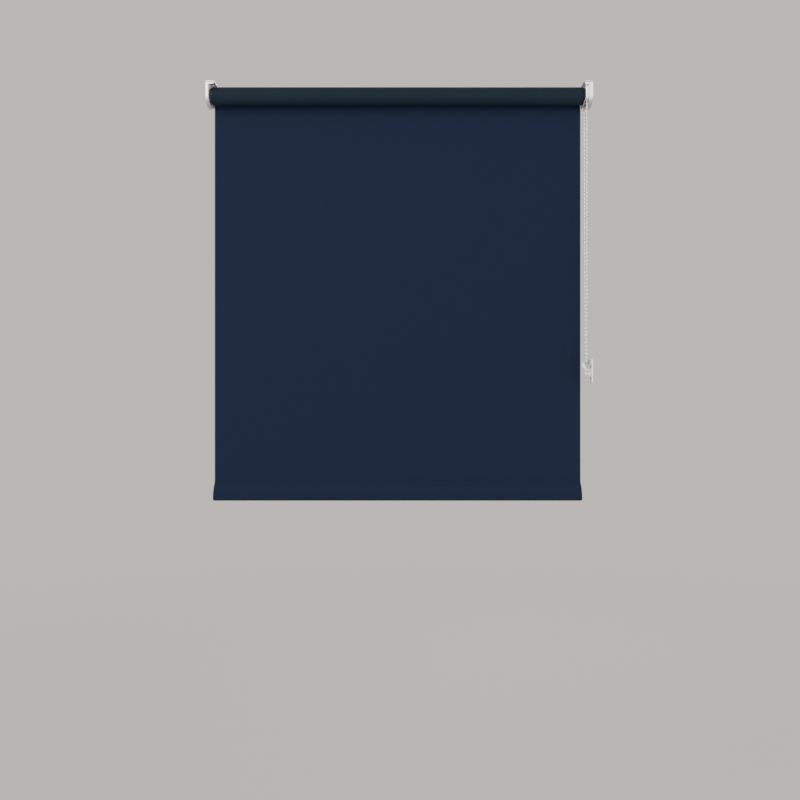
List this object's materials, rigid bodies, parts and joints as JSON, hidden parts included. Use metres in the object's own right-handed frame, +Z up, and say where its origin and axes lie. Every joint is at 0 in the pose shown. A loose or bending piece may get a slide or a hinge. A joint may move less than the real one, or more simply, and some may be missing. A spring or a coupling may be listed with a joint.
{
  "type": "roller blind",
  "caption": "Blackout roller blind for a window recess: dark fabric on a roller between two end brackets, with a bead chain, a chain clip and a weighted hem.",
  "frame": {"origin": "middle of the recess head between the two brackets, in the plane of the brackets' top faces and above the roller's axis", "axes": "+Z up, -Y towards the room, +X towards the chain side, along the roller"},
  "size_m": [0.62, 0.039, 0.6755],
  "materials": {
    "blackout_fabric": "dark navy coated blackout cloth, matt",
    "white_coated_steel": "white powder coat, satin",
    "white_abs": "white moulded ABS, satin",
    "white_chain_plastic": "white moulded beads, slight gloss",
    "natural_nylon": "natural nylon",
    "grey_nylon": "dark grey nylon",
    "mill_aluminium": "mill-finish extrusion",
    "zinc_plated_steel": "zinc plated",
    "grey_pvc": "extruded PVC"
  },
  "bodies": {
    "brackets": {"bracket_left": "white_coated_steel", "bracket_right": "white_coated_steel", "bracket_cover_left": "white_abs", "bracket_cover_right": "white_abs", "chain_guard": "white_abs", "bracket_screw_left_front": "zinc_plated_steel", "bracket_screw_left_back": "zinc_plated_steel", "bracket_screw_right_front": "zinc_plated_steel", "bracket_screw_right_back": "zinc_plated_steel", "pin_bush": "natural_nylon", "control_hub": "natural_nylon", "hub_washer": "zinc_plated_steel", "hub_screw": "zinc_plated_steel", "bead_chain": "white_chain_plastic", "chain_clip": "white_abs", "clip_screw_upper": "zinc_plated_steel", "clip_screw_lower": "zinc_plated_steel", "fabric_sheet": "blackout_fabric"},
    "roller": {"roller_tube": "mill_aluminium", "fabric_spline": "grey_pvc", "fabric_roll": "blackout_fabric", "idle_plug": "grey_nylon", "pin_spring": "zinc_plated_steel", "pin_spring_cap": "grey_nylon", "drive_plug": "grey_nylon", "brake_spring_inner": "zinc_plated_steel", "brake_spring_outer": "zinc_plated_steel"},
    "chain_wheel": {"chain_wheel": "grey_nylon"},
    "idle_pin": {"idle_pin": "zinc_plated_steel"},
    "hem": {"hem_pocket": "blackout_fabric", "bottom_bar": "mill_aluminium", "bar_cap_left": "grey_nylon", "bar_cap_right": "grey_nylon"}
  },
  "joints": [
    {"name": "blind_travel", "type": "slide", "parent": "brackets", "child": "hem", "axis": [0, 0, 1], "range_m": [-0.34646, 0.59214], "deforming": ["fabric_sheet"]},
    {"name": "roller_spin", "type": "hinge", "parent": "brackets", "child": "roller", "pos_m": [0, 0, -0.02102], "axis": [1, 0, 0], "range_deg": [-1414.29, 2417.15]},
    {"name": "chain_wheel_spin", "type": "hinge", "parent": "brackets", "child": "chain_wheel", "pos_m": [0.3, 0, -0.02102], "axis": [1, 0, 0], "range_deg": [-1414.29, 2417.15], "deforming": ["bead_chain"]},
    {"name": "idle_pin_press", "type": "slide", "parent": "roller", "child": "idle_pin", "axis": [1, 0, 0], "range_m": [0, 0.006], "stiffness_N_per_m": 800, "springref_m": -0.006, "deforming": ["pin_spring"]}
  ],
  "couplings": [
    {"joint": "roller_spin", "follows": "blind_travel", "rad_per_m": 71.245},
    {"joint": "chain_wheel_spin", "follows": "blind_travel", "rad_per_m": 71.245}
  ]
}
